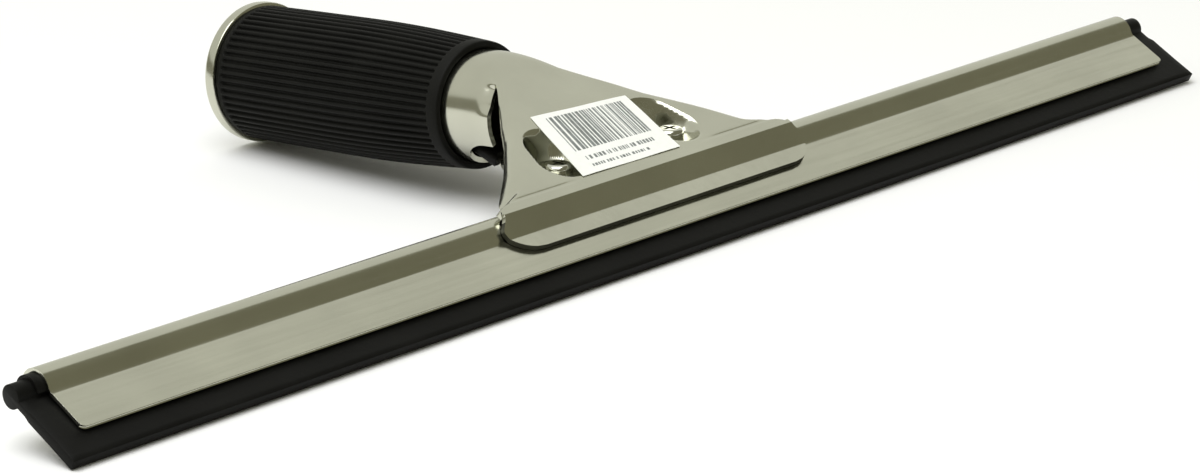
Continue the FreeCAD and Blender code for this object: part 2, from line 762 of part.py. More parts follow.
def rear_ferrule():
    """Metal ring that closes the end of the handle around the pole socket."""
    start = GRIP_END + SMALL_GAP
    step = TUBE_END + SMALL_GAP
    soft = FERRULE_ROUND
    liner_hole = LINER_OUTER + SMALL_GAP
    profile = [(start, FERRULE_BORE), (start, FERRULE_RADIUS - soft * 0.3)]
    profile += [(start + soft * 0.3, FERRULE_RADIUS), (FERRULE_END - soft, FERRULE_RADIUS)]
    profile += [(FERRULE_END - soft * 0.3, FERRULE_RADIUS - soft * 0.3)]
    profile += [(FERRULE_END, FERRULE_RADIUS - soft), (FERRULE_END, FERRULE_MOUTH + soft / 2)]
    profile += [(FERRULE_END - soft / 2, FERRULE_MOUTH), (LINER_END + SMALL_GAP, FERRULE_MOUTH)]
    profile += [(LINER_END + SMALL_GAP, liner_hole), (step, liner_hole), (step, FERRULE_BORE)]
    return turned_about_handle(profile)


def pole_socket_liner():
    """Plastic liner of the tube that takes the tip of an extension pole."""
    profile = [(LINER_START, 0.0), (LINER_START, LINER_OUTER), (LINER_END, LINER_OUTER)]
    profile += [(LINER_END, SOCKET_RADIUS), (LINER_START + LINER_FLOOR, SOCKET_RADIUS)]
    profile += [(LINER_START + LINER_FLOOR, 0.0)]
    return turned_about_handle(profile)


def barcode_label():
    """Paper label stuck on the fan over the inner edges of both pockets."""
    corners = []
    for x, s in (LABEL_TOP_LEFT, LABEL_TOP_RIGHT, LABEL_BOTTOM_RIGHT, LABEL_BOTTOM_LEFT):
        y, z = on_fan(s, LABEL_LIFT)
        corners.append(V(x, y, z))
    face = Part.Face(Part.makePolygon(corners + [corners[0]]))
    cos_f, sin_f = turned(FAN_SLOPE)
    return face.extrude(V(0, -sin_f, cos_f) * LABEL_THICK)


def pieces():
    """Every node of the tool with its shape, still about the bulb's centre line."""
    return {
        "handle_body": handle_body(),
        "lower_jaw": lower_jaw(),
        "release_tab": release_tab(),
        "pivot_screws": pair(pivot_screw),
        "pivot_spacers": pair(spacer),
        "pivot_washers": pair(washer),
        "lock_nuts": pair(nut),
        "clamp_spring": clamp_spring(),
        "spring_post": spring_post(),
        "spring_seat": spring_seat(),
        "blade_channel": channel(),
        "squeegee_rubber": squeegee_rubber(),
        "end_plug_left": end_plug_left(),
        "end_plug_right": end_plug_right(),
        "grip_sleeve": grip_sleeve(),
        "rear_ferrule": rear_ferrule(),
        "pole_socket_liner": pole_socket_liner(),
        "barcode_label": barcode_label(),
    }


def write_parts():
    """Move every piece to the tool's own frame and write one file for each."""
    os.makedirs("parts", exist_ok=True)
    move = V(0, -MIDDLE_BEHIND_BULB, TABLE_BELOW_BULB)
    for node, shape in pieces().items():
        shape.translated(move).exportStep(os.path.join("parts", node + ".step"))


write_parts()
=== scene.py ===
import math
import random

import bmesh
import bpy
import numpy as np
from mathutils import Matrix, Vector


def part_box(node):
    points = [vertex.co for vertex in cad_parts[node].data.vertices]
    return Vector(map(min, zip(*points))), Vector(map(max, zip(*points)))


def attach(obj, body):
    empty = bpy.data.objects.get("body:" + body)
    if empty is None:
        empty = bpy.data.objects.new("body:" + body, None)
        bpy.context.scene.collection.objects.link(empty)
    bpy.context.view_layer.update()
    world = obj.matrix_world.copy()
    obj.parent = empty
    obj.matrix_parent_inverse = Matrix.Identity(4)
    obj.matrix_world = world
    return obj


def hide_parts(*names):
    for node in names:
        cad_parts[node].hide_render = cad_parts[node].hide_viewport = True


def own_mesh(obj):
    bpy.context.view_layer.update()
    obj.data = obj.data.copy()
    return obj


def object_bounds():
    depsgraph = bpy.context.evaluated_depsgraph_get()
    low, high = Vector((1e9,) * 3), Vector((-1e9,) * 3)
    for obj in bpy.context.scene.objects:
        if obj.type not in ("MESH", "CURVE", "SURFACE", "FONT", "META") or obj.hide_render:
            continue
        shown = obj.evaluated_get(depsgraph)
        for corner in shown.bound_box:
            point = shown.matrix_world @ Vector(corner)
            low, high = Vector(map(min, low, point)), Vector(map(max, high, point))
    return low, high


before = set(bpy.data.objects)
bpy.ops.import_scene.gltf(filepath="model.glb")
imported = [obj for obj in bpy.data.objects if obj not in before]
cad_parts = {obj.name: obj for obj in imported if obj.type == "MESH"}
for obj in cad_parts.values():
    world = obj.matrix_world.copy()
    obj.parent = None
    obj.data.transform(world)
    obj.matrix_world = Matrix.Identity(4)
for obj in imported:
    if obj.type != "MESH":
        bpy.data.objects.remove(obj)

CAD_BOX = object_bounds()

# Window cleaning squeegee: a stamped stainless head and tube handle that clamps a blade
# channel with a rubber strip. Shapes are made in millimetres about the centre line of the
# channel's bulb, X along the blade, Y back towards the handle's end, Z up, and place()
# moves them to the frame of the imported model. "Station" is a place along the handle's axis.

MM = 0.001

# Attitude of the blade, the handle and the fan (degrees)
BLADE_TILT = 28.92
HANDLE_DROP = 3.53
FAN_SLOPE = 21.1

# Mesh clean-up: merging distance (metres) and angles that are shaded smooth (degrees)
MERGE_WITHIN = 1e-6
SHELL_SMOOTH = 60.0
STRIP_SMOOTH = 35.0
BEVELLED_SMOOTH = 50.0
ROUND_SMOOTH = 50.0
RING_SMOOTH = 40.0
PRINT_SMOOTH = 30.0
# Softened edges: width (mm), segments and least angle (degrees)
HEAD_EDGE = (0.42, 3, 55.0)
STRIP_EDGE = (0.12, 2, 60.0)

# Blade channel: a sheet folded round a bulb, with two legs that end in round-edged lips
CHANNEL_HALF = 175.0
BULB_RADIUS = 4.3
CHANNEL_SHEET = 0.8
EDGE_STEPS = 4
LEG_OUT = 2.57
LIP_REACH = 15.0
LEG_POINTS = (LIP_REACH - 0.35, LIP_REACH - 0.5, 12.0, 9.0, 6.0, 4.6, 3.8)
CHANNEL_ARC_STEPS = 40
# Sections between the ends, and the round corners at the ends of the lips
CHANNEL_MIDDLE = np.linspace(-170.0, 170.0, 60)
LIP_CORNER = 1.4
LIP_CORNER_STEPS = 6
LIP_TRIM = (11.5, 15.0)

# Rubber strip: a bulb, a narrow neck and a body with a square edge
RUBBER_HALF_LENGTH = 181.4
RUBBER_STATIONS = 182
RUBBER_BULB = 2.6
RUBBER_ARC_STEPS = 24
RUBBER_NECK = 0.8
RUBBER_NECK_END = 5.0
RUBBER_HALF = 1.2
RUBBER_BODY_POINTS = (6.5, 14.0, 16.0)
RUBBER_REACH = 20.75
RUBBER_EDGE_ZONE = 1.5
RUBBER_EDGE_CUT = 0.12
# Waves of its free edge: size, length over 2 pi and phase
LEAN_START = 13.0
LEAN_SHARE = 0.5
LEAN_WAVES = ((0.16, 23.0, 0.6), (0.1, 9.0, 0.0))
EDGE_SHORT = 0.1
EDGE_WAVE = (0.08, 31.0)

# Jaw strip of the head, from its front lip over the bulb to the ridge, in the head's sheet
SHEET = 1.2
JAW_HALF = 49.35
JAW_REACH = 9.1
JAW_GAP = 0.1
LIP_TOP = LEG_OUT + JAW_GAP + SHEET
BAND_FOOT = 4.5
RIDGE_RISE = 6.6
JAW_CORNER = 8.5
JAW_BENDS = (1.6, 1.2)
JAW_BEND_STEPS = 5
JAW_TOP = 1.4
JAW_ROW_STEP = 0.35
JAW_END_POWER = 1.5

# Fan behind the ridge, with turned-down sides, a pressed line and two pockets
FAN_FIRST = 1.8
FAN_ROWS = 116
FAN_BEND = 4.5
FAN_BEND_SHARE = 0.9
FAN_BEND_STEPS = 14
CREASE_AT = 3.6
CREASE_DEPTH = 0.22
CREASE_WIDTH = 0.45
CREASE_STARTS = (16.0, 26.0)
CREASE_STOPS = (44.0, 46.0)
POCKET_X = 17.4
POCKET_Y = 9.6
POCKET_WIDTH = 12.0
POCKET_LENGTH = 17.0
POCKET_TURN = 18.0
POCKET_FLOOR = 6.9
POCKET_WALL = 1.3
POCKET_RIM = 0.7
# (station, half width) of the fan, outside its turned-down sides
FAN_WIDTHS = (
    (-2.7, 47.0), (-1.8, 47.0), (-1.0, 46.7), (-0.3, 45.8), (0.3, 44.0), (0.9, 41.6),
    (1.5, 39.4), (2.3, 37.4), (3.3, 36.0), (5.6, 34.4), (9.2, 32.1), (12.3, 30.0),
    (16.5, 26.8), (20.8, 23.2), (25.5, 19.3), (29.5, 16.2), (33.2, 13.5), (36.0, 11.5),
)
# (station, how far the foot of the turned-down sides flares out)
FAN_FLARES = (
    (-2.7, 0.0), (-1.0, 0.8), (1.0, 3.9), (3.7, 7.2), (6.0, 6.3), (9.7, 4.1), (13.0, 2.2),
    (17.0, 0.8), (22.0, 0.0),
)
# (station, depth of the turned-down sides)
FAN_SKIRTS = (
    (-2.7, 0.3), (-1.0, 0.7), (1.0, 2.2), (4.0, 4.2), (7.0, 4.9), (12.0, 5.0), (20.0, 4.6),
    (26.0, 3.8), (32.0, 2.0), (36.0, 1.0),
)
# How far each table is eased (mm), and the step it is eased at
WIDTH_SPREAD = 0.7
SKIRT_SPREAD = 2.0
FLARE_SPREAD = 1.4
TABLE_STEP = 0.05

# Neck and handle tube
AXIS_HEIGHT = 13.96
TUBE_RADIUS = 13.2
TUBE_END = 128.4
CUT_START = 36.0
NECK_BLEND_START = 24.0
ROUND_FROM = 46.5
# Columns round the tube, rows along the neck and the sections that they are read from
AROUND = 576
NECK_ROWS = 44
NECK_SECTIONS = 40
SECTION_POINTS = 1441
# How the section is flattened, where its side wall is cut, and the notch under the neck
FACE_UP = 0.05
CORNER_BLEND = 1.6
RIM_ANGLE = 48.0
NOTCH_HALF = 11.9
NOTCH_END = 49.0
NOTCH_POWER = 3
# How far the wall is drawn in behind its cut edge, along it and between which angles
DRAWN_IN = 0.8
DRAWN_REACH = 4.0
DRAWN_STARTS = (RIM_ANGLE, RIM_ANGLE + 6.0)
DRAWN_STOPS = (70.0, 84.0)
# Faces of the lip's sheared edge, which get a near-black steel with painted shade: how little
# they face up, and where its ends lie
EDGE_FACING = 0.25
END_FACING = 0.5
END_FROM = 1.0
END_WITHIN = 4.0

# Ribbed grip
GRIP_START = 51.0
GRIP_END = 126.4
GRIP_FRONT = 15.0
GRIP_MIDDLE = 16.5
GRIP_REAR = 16.3
COLLAR = 3.2
UNDER_GRIP = GRIP_START + 3
RIB_COUNT = 56
RIB_POINTS = 14
RIB_DEPTH = 0.6
RIB_CROWN = 0.12
RIB_FLANK = (0.10, 0.34)
RIB_LEAST_RADIUS = GRIP_FRONT - 0.9
RIBS_START = (GRIP_START + COLLAR - 0.2, GRIP_START + COLLAR + 0.6)
RIBS_STOP = (GRIP_END - 2.2, GRIP_END - 1.6)
# Front of the grip: (distance behind its front face, radius)
GRIP_NOSE = ((0.5, 13.25), (0.1, 13.5), (0.0, 13.9), (0.0, 14.6), (0.12, 14.85), (0.4, 15.0))
# Rings of its outside: three on the collar, then runs of (first, last station, count)
COLLAR_RINGS = (1.5, 2.6, 3.0)
RIB_RUNS = (
    (GRIP_START + 3.2, GRIP_START + 4.0, 5), (GRIP_START + 5.0, GRIP_END - 2.4, 26),
    (GRIP_END - 2.2, GRIP_END - 1.4, 5),
)
# Rear of the grip: (distance before its rear face, radius)
GRIP_TAIL = ((0.3, GRIP_REAR), (0.0, GRIP_REAR - 0.3), (0.0, 13.25))

# Metal ring at the handle's end: (station, radius) before and behind its rolled edge
FERRULE_STEPS = 192
FERRULE_START = GRIP_END + 0.05
FERRULE_END = 130.0
FERRULE_RADIUS = 17.07
FERRULE_MOUTH = 11.2
FERRULE_ROLL = 1.3
FERRULE_ROLL_STEPS = 8
FERRULE_FRONT = (
    (FERRULE_START, 13.3), (FERRULE_START, FERRULE_RADIUS - 0.5),
    (FERRULE_START + 0.15, FERRULE_RADIUS - 0.15), (FERRULE_START + 0.5, FERRULE_RADIUS),
)
FERRULE_INSIDE = (
    (FERRULE_END - 0.25, 14.6), (FERRULE_END - 0.25, 12.6), (FERRULE_END, 12.2),
    (FERRULE_END, FERRULE_MOUTH + 0.5), (FERRULE_END - 0.5, FERRULE_MOUTH),
    (128.7, FERRULE_MOUTH), (128.7, 12.0), (128.45, 12.0), (128.45, 13.3),
)

# Label: corners as (x, distance up the fan), from its lower left one anticlockwise
LABEL_CORNERS = ((-18.8, 3.9), (12.4, 3.5), (15.8, 25.1), (-13.0, 27.3))
LABEL_LIFT = 0.06
LABEL_THICK = 0.12
LABEL_STEPS = 28
LABEL_CURL = 0.10
LABEL_CURL_RIM = 0.06
LABEL_CURL_WAVES = (9, 7)
PRINT_LIFT = 0.03
PRINT_SUNK = 0.02
PRINT_SEED = 14
# Rows of print, in shares of the label: ends, foot and head, stroke widths, their scale in
# the left and right half, and gaps
PRINT_ROWS = (
    ((0.12, 0.90), (0.36, 0.93), (0.3, 0.6, 1.0), (0.030, 0.018), (0.008, 0.013, 0.02)),
    ((0.16, 0.86), (0.20, 0.26), (0.008, 0.014, 0.022), (1.0, 1.0), (0.010, 0.012, 0.026)),
    ((0.16, 0.74), (0.09, 0.13), (0.008, 0.014, 0.022), (1.0, 1.0), (0.010, 0.012, 0.026)),
)

# Clamp spring, pushed shorter by the tail of the lower jaw
SPRING_Y = 25.0
SPRING_COIL = 4.85
SPRING_WIRE = 0.6
SPRING_BOTTOM = -0.3
SPRING_TOP = 12.6
SPRING_TURNS = 7
SPRING_CLOSED_PITCH = 1.26
TURN_STEPS = 40
WIRE_STEPS = 14

# Materials: part of a noise's range that counts, its scales, and (strength, distance) of
# the relief, with distances in metres
NOISE_RANGE = (0.3, 0.7)
EVEN = (1.0, 1.0, 1.0)
GRAIN_SCALE = 900.0
SMUDGE_SCALE = 45.0
GRAIN_RELIEF = (0.06, 0.0002)
CLOUD_SCALE = 60.0
SKIN_DEPTH = 0.0003
RUBBER_SPECULAR = 0.09
FIBRE_SCALE = 700.0
FIBRE_RELIEF = (0.05, 0.0001)
INK_SCALE = 900.0
FLOOR_SCALE = 3.0

# Floor (metres), and the surround: its two colours and where its bright part begins along
# Y, Z and X of the view's direction
FLOOR_HALF = 4.0
FLOOR_DROP = 0.0002
DIM_SIDE = (0.22, 0.213, 0.15)
BRIGHT_SIDE = (0.76, 0.765, 0.70)
REAR_EDGE = (0.005, 0.045)
HIGH_EDGE = (0.20, 0.34)
RIGHT_EDGE = (-0.45, -0.05)
LEFT_SHARE = 0.15

# Light: places and size in metres, power in watts
LIGHT_PLACE = (-0.5, -0.1, 1.3)
LIGHT_AIM = (-0.1, 0.1, 0.0)
LIGHT_SIZE = 1.3
LIGHT_POWER = 18.5
LIGHT_COLOUR = (0.965, 0.975, 1.0)

# Camera: angles in degrees, distances, lens and sensor in millimetres, clips in metres
CAMERA_AZIMUTH = -45.74
CAMERA_ELEVATION = 17.31
CAMERA_ROLL = -1.63
CAMERA_DISTANCE = 972.98
CAMERA_RIGHT = -9.757
CAMERA_UP = -10.977
CAMERA_LENS = 129.80
CAMERA_SENSOR = 36.0
CAMERA_CLIPS = (0.01, 50.0)

random.seed(PRINT_SEED)


# ---------------------------------------------------------------- places and curves


def turned(angle):
    """Cosine and sine of an angle in degrees."""
    return math.cos(math.radians(angle)), math.sin(math.radians(angle))


def frame_origin():
    """Where the bulb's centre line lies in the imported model, from the channel's box."""
    low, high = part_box("blade_channel")
    bulb = BULB_RADIUS * MM
    return Vector(((low.x + high.x) / 2, high.y - bulb, high.z - bulb))


ORIGIN = frame_origin()


def place(point):
    """Point in millimetres about the bulb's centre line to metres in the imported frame."""
    return Vector(point) * MM + ORIGIN


def blade(u, v):
    """Side-view point (y, z) at u down the blade and v out of its upper face."""
    cos_t, sin_t = turned(BLADE_TILT)
    return (-u * cos_t - v * sin_t, -u * sin_t + v * cos_t)


def along_handle(s, w):
    """Side-view point (y, z) at s along the handle axis and w above it."""
    cos_h, sin_h = turned(-HANDLE_DROP)
    return (s * cos_h - w * sin_h, AXIS_HEIGHT + s * sin_h + w * cos_h)


def to_handle(y, z):
    """Station along the handle axis and height above it of a side-view point."""
    cos_h, sin_h = turned(-HANDLE_DROP)
    drop = z - AXIS_HEIGHT
    return (y * cos_h + drop * sin_h, drop * cos_h - y * sin_h)


def ridge():
    """Side-view point of the ridge over the bulb."""
    return blade(0.0, RIDGE_RISE)


def on_fan(s, w=0.0):
    """Side-view point at s up the fan from the ridge and w above its face."""
    cos_f, sin_f = turned(FAN_SLOPE)
    ridge_y, ridge_z = ridge()
    return (ridge_y + s * cos_f - w * sin_f, ridge_z + s * sin_f + w * cos_f)


def fan_height(s):
    """Height of the fan's face above the handle axis at a station."""
    ridge_s, ridge_w = to_handle(*ridge())
    return ridge_w + (s - ridge_s) * math.tan(math.radians(FAN_SLOPE + HANDLE_DROP))


def clamped(value):
    """Value kept between 0 and 1."""
    return min(max(value, 0.0), 1.0)


def smooth(low, high, value):
    """Smooth step from 0 at low to 1 at high."""
    share = clamped((value - low) / (high - low))
    return share * share * (3.0 - 2.0 * share)


def corner_inset(radius, over):
    """How far a round corner falls in at a distance past the start of its arc."""
    return radius - math.sqrt(max(radius ** 2 - max(over, 0.0) ** 2, 0.0))


def rounded(points, radii, steps):
    """Path of 2-D points with each inner corner replaced by an arc of its own radius."""
    path = [Vector(points[0])]
    for index, radius in enumerate(radii, 1):
        before, corner, after = (Vector(points[index + k]) for k in (-1, 0, 1))
        into = (corner - before).normalized()
        out = (after - corner).normalized()
        turn = math.atan2(into.x * out.y - into.y * out.x, into.dot(out))
        start = corner - into * (radius * math.tan(abs(turn) / 2))
        centre = start + Vector((-into.y, into.x)) * (radius * math.copysign(1.0, turn))
        arm = start - centre
        for step in range(steps + 1):
            angle = turn * step / steps
            cos_a, sin_a = math.cos(angle), math.sin(angle)
            swung = (arm.x * cos_a - arm.y * sin_a, arm.x * sin_a + arm.y * cos_a)
            path.append(centre + Vector(swung))
    path.append(Vector(points[-1]))
    return path


def resample(points, count):
    """Polyline resampled to evenly spaced points."""
    points = np.asarray(points, float)
    steps = np.linalg.norm(np.diff(points, axis=0), axis=1)
    along = np.concatenate([[0.0], np.cumsum(steps)])
    targets = np.linspace(0.0, along[-1], count)
    return np.stack([np.interp(targets, along, points[:, k]) for k in (0, 1)], axis=1)


def eased_table(table, spread):
    """Table of values eased over a spread, as a function of the station."""
    stations = np.arange(table[0][0] - 4 * spread, table[-1][0] + 4 * spread, TABLE_STEP)
    values = np.interp(stations, [row[0] for row in table], [row[1] for row in table])
    reach = np.arange(-3 * spread, 3 * spread + TABLE_STEP / 2, TABLE_STEP)
    weights = np.exp(-0.5 * (reach / spread) ** 2)
    padded = np.pad(values, len(reach) // 2, mode="edge")
    eased = np.convolve(padded, weights / weights.sum(), mode="valid")[: len(stations)]
    return lambda s: float(np.interp(s, stations, eased))


# ---------------------------------------------------------------- meshes


def new_object(name, verts, faces, material, smooth_angle):
    """Mesh object from points in millimetres and faces, shaded smooth up to an angle."""
    mesh = bpy.data.meshes.new(name)
    mesh.from_pydata([place(v) for v in verts], [], faces)
    mesh.update()
    item = bpy.data.objects.new(name, mesh)
    bpy.context.scene.collection.objects.link(item)
    item.data.materials.append(material)
    tidy_mesh(item, smooth_angle)
    return item


def tidy_mesh(item, smooth_angle):
    """Merge doubled points, turn faces outwards and shade them."""
    work = bmesh.new()
    work.from_mesh(item.data)
    bmesh.ops.remove_doubles(work, verts=work.verts, dist=MERGE_WITHIN)
    bmesh.ops.recalc_face_normals(work, faces=work.faces)
    limit = math.radians(smooth_angle)
    for edge in work.edges:
        if len(edge.link_faces) == 2:
            edge.smooth = edge.calc_face_angle(0.0) < limit
    for face in work.faces:
        face.smooth = True
    work.to_mesh(item.data)
    work.free()


def apply_modifiers(item):
    """Replace a mesh by what its modifiers make of it."""
    depsgraph = bpy.context.evaluated_depsgraph_get()
    made = bpy.data.meshes.new_from_object(item.evaluated_get(depsgraph))
    item.modifiers.clear()
    item.data = made


def bevel(item, width, segments, angle):
    """Round the edges of a mesh sharper than an angle, by a width in millimetres."""
    modifier = item.modifiers.new("bevel", "BEVEL")
    modifier.width = width * MM
    modifier.segments = segments
    modifier.limit_method = "ANGLE"
    modifier.angle_limit = math.radians(angle)
    apply_modifiers(item)
    tidy_mesh(item, BEVELLED_SMOOTH)
    return item


def grid_faces(rows, columns, closed=False):
    """Quads of a grid of points; closed joins the last column to the first."""
    faces = []
    span = columns if closed else columns - 1
    for row in range(rows - 1):
        for column in range(span):
            after = (column + 1) % columns
            faces.append((row * columns + column, row * columns + after,
                          (row + 1) * columns + after, (row + 1) * columns + column))
    return faces


def swept(name, loops, material, smooth_angle):
    """Closed loops of points skinned in order, with a cap at each end."""
    columns = len(loops[0])
    verts = [point for loop in loops for point in loop]
    faces = grid_faces(len(loops), columns, True)
    faces.append(tuple(range(columns)))
    last = (len(loops) - 1) * columns
    faces.append(tuple(last + index for index in reversed(range(columns))))
    return new_object(name, verts, faces, material, smooth_angle)


def lathe(name, profile, material, steps, smooth_angle, wave=None):
    """Ring about the handle axis from (station, radius) points; wave alters each radius."""
    verts = []
    for s, radius in profile:
        for step in range(steps):
            angle = 2 * math.pi * step / steps
            r = radius if wave is None else wave(s, radius, angle)
            y, z = along_handle(s, r * math.sin(angle))
            verts.append((r * math.cos(angle), y, z))
    faces = grid_faces(len(profile), steps, True)
    last = (len(profile) - 1) * steps
    for step in range(steps):
        after = (step + 1) % steps
        faces.append((last + step, last + after, after, step))
    return new_object(name, verts, faces, material, smooth_angle)


# ---------------------------------------------------------------- materials


def start_material(name, base, roughness, metallic=0.0):
    """Material with its Principled shader set; returns it, its nodes, links and shader."""
    made = bpy.data.materials.new(name)
    made.use_nodes = True
    nodes = made.node_tree.nodes
    shader = nodes["Principled BSDF"]
    shader.inputs["Base Color"].default_value = (*base, 1.0)
    shader.inputs["Roughness"].default_value = roughness
    shader.inputs["Metallic"].default_value = metallic
    return made, nodes, made.node_tree.links, shader


def stretched_noise(nodes, links, scale, detail, stretch=EVEN):
    """Noise in the object's own space, stretched by a scale for each axis."""
    coordinates = nodes.new("ShaderNodeTexCoord")
    mapping = nodes.new("ShaderNodeMapping")
    mapping.inputs["Scale"].default_value = stretch
    noise = nodes.new("ShaderNodeTexNoise")
    noise.inputs["Scale"].default_value = scale
    noise.inputs["Detail"].default_value = detail
    links.new(coordinates.outputs["Object"], mapping.inputs["Vector"])
    links.new(mapping.outputs["Vector"], noise.inputs["Vector"])
    return noise.outputs["Fac"]


def vary_roughness(nodes, links, shader, factor, rough):
    """Roughness that runs between two values with a noise."""
    spread = nodes.new("ShaderNodeMapRange")
    spread.inputs["From Min"].default_value = NOISE_RANGE[0]
    spread.inputs["From Max"].default_value = NOISE_RANGE[1]
    spread.inputs["To Min"].default_value = rough[0]
    spread.inputs["To Max"].default_value = rough[1]
    links.new(factor, spread.inputs["Value"])
    links.new(spread.outputs["Result"], shader.inputs["Roughness"])


def vary_colour(nodes, links, shader, factor, low, high):
    """Base colour that runs between two colours with a noise."""
    ramp = nodes.new("ShaderNodeValToRGB")
    for element, position, colour in zip(ramp.color_ramp.elements, NOISE_RANGE, (low, high)):
        element.position = position
        element.color = (*colour, 1.0)
    links.new(factor, ramp.inputs["Fac"])
    links.new(ramp.outputs["Color"], shader.inputs["Base Color"])


def add_bump(nodes, links, shader, height, strength, distance):
    """Surface relief from a height."""
    bump = nodes.new("ShaderNodeBump")
    bump.inputs["Strength"].default_value = strength
    bump.inputs["Distance"].default_value = distance
    links.new(height, bump.inputs["Height"])
    links.new(bump.outputs["Normal"], shader.inputs["Normal"])


def steel(name, low, high, rough, stretch=EVEN):
    """Rolled stainless: fine grain, longer where its stretch is small, and soft smudges."""
    made, nodes, links, shader = start_material(name, high, rough[0], metallic=1.0)
    grain = stretched_noise(nodes, links, GRAIN_SCALE, detail=6.0, stretch=stretch)
    smudge = stretched_noise(nodes, links, SMUDGE_SCALE, detail=5.0)
    vary_colour(nodes, links, shader, smudge, low, high)
    vary_roughness(nodes, links, shader, grain, rough)
    add_bump(nodes, links, shader, grain, *GRAIN_RELIEF)
    return made


def rubber(name, low, high, rough, skin_scale, relief):
    """Black rubber or plastic: uneven sheen, a little dust and a fine moulded skin."""
    made, nodes, links, shader = start_material(name, high, rough[0])
    shader.inputs["Specular IOR Level"].default_value = RUBBER_SPECULAR
    cloud = stretched_noise(nodes, links, CLOUD_SCALE, detail=6.0)
    skin = stretched_noise(nodes, links, skin_scale, detail=3.0)
    vary_colour(nodes, links, shader, cloud, low, high)
    vary_roughness(nodes, links, shader, cloud, rough)
    add_bump(nodes, links, shader, skin, relief, SKIN_DEPTH)
    return made


def paper():
    """Label paper: off-white, with faint fibres."""
    made, nodes, links, shader = start_material("label_paper", (0.97, 0.98, 0.94), 0.5)
    fibre = stretched_noise(nodes, links, FIBRE_SCALE, detail=5.0)
    vary_colour(nodes, links, shader, fibre, (0.93, 0.94, 0.90), (0.98, 0.99, 0.95))
    add_bump(nodes, links, shader, fibre, *FIBRE_RELIEF)
    return made


def ink():
    """Grey print with uneven cover."""
    made, nodes, links, shader = start_material("label_ink", (0.2, 0.22, 0.22), 0.6)
    cover = stretched_noise(nodes, links, INK_SCALE, detail=4.0)
    vary_colour(nodes, links, shader, cover, (0.13, 0.145, 0.14), (0.27, 0.29, 0.28))
    return made


STEEL_HEAD = steel("steel_head", (0.52, 0.52, 0.435), (0.59, 0.59, 0.495),
                   (0.13, 0.20), (1.0, 0.08, 1.0))
STEEL_CHANNEL = steel("steel_channel", (0.53, 0.53, 0.445), (0.59, 0.59, 0.495),
                      (0.15, 0.24), (0.03, 1.0, 1.0))
STEEL_BRIGHT = steel("steel_bright", (0.56, 0.56, 0.50), (0.64, 0.64, 0.57), (0.10, 0.18))
STEEL_SPRING = steel("steel_spring", (0.40, 0.40, 0.37), (0.52, 0.52, 0.48), (0.22, 0.34))
# Near-black steel for the lip's cut edge: a darker sheared edge with painted shade of the gap
# under the lip added to it
STEEL_EDGE_SHADE = steel("steel_cut_edge_painted_shade", (0.05, 0.05, 0.04), (0.09, 0.09, 0.07), (0.45, 0.6))
BLADE_RUBBER = rubber("blade_rubber", (0.004, 0.004, 0.0035), (0.008, 0.008, 0.007),
                      (0.38, 0.55), skin_scale=900.0, relief=0.10)
GRIP_RUBBER = rubber("grip_rubber", (0.004, 0.004, 0.0033), (0.009, 0.009, 0.0075),
                     (0.46, 0.62), skin_scale=1200.0, relief=0.16)
BLACK_PLASTIC = rubber("black_plastic", (0.004, 0.004, 0.0036), (0.008, 0.008, 0.007),
                       (0.34, 0.50), skin_scale=1400.0, relief=0.10)
LABEL_PAPER = paper()
LABEL_INK = ink()


# ---------------------------------------------------------------- head and neck tube

fan_width = eased_table(FAN_WIDTHS, WIDTH_SPREAD)
fan_skirt = eased_table(FAN_SKIRTS, SKIRT_SPREAD)
fan_flare = eased_table(FAN_FLARES, FLARE_SPREAD)


def closed_section(s):
    """Neck tube's section at one station: a circle flattened by the fan's face."""
    angles = np.radians(np.linspace(-180.0, 180.0, SECTION_POINTS))
    radius = np.full(angles.shape, TUBE_RADIUS)
    facing = np.cos(angles) > FACE_UP
    flat = fan_height(s) / np.cos(angles[facing])
    gap = np.maximum(CORNER_BLEND - np.abs(flat - TUBE_RADIUS), 0.0)
    radius[facing] = np.minimum(flat, TUBE_RADIUS) - gap * gap / (4 * CORNER_BLEND)
    points = np.stack([radius * np.sin(angles), radius * np.cos(angles)], axis=1)
    return resample(points, AROUND + 1)


def rim_columns():
    """How many columns lie between the top of the neck and the start of its cut."""
    half = closed_section(CUT_START)[AROUND // 2:]
    angles = np.degrees(np.arctan2(half[:, 0], half[:, 1]))
    return int(np.searchsorted(angles, RIM_ANGLE))


# Upper part of the neck's section at its cut, which the fan runs into
HALF_COLUMNS = rim_columns()
RIM_TOP = closed_section(CUT_START)[AROUND // 2 - HALF_COLUMNS: AROUND // 2 + HALF_COLUMNS + 1]


def fan_section(s):
    """Points (x, height above the axis) across the fan's outer face at one station."""
    half, skirt, flare = fan_width(s), fan_skirt(s), fan_flare(s)
    top = fan_height(s)
    turn = math.atan2(skirt, flare)
    bend = min(FAN_BEND, FAN_BEND_SHARE * math.hypot(skirt, flare) / math.tan(turn / 2))
    corners = [(-half - flare, top - skirt), (-half, top), (0.0, top)]
    points = [tuple(point) for point in rounded(corners, [bend], FAN_BEND_STEPS)]
    points += [(-x, w) for x, w in reversed(points[:-1])]
    row = resample(points, 2 * HALF_COLUMNS + 1)
    stretch = 1.0 + (half - fan_width(CUT_START)) / RIM_TOP[-1, 0]
    lifted = RIM_TOP * np.array([stretch, 1.0]) + np.array([0.0, top - fan_height(CUT_START)])
    share = smooth(NECK_BLEND_START, CUT_START, s)
    return row * (1.0 - share) + lifted * share


def pocket_depth(x, y, z):
    """How far a point of the fan's face sinks into the pockets for the screws."""
    side = 1.0 if x > 0 else -1.0
    cos_t, sin_t = turned(POCKET_TURN * side)
    dx, dy = x - side * POCKET_X, y - POCKET_Y
    across = dx * cos_t + dy * sin_t
    along = -dx * sin_t + dy * cos_t
    radius = POCKET_WIDTH / 2
    reach = POCKET_LENGTH / 2 - radius
    outside = math.hypot(across, max(abs(along) - reach, 0.0)) - radius
    share = 1.0 - smooth(-POCKET_WALL, POCKET_RIM, outside)
    return max(z - POCKET_FLOOR, 0.0) * share


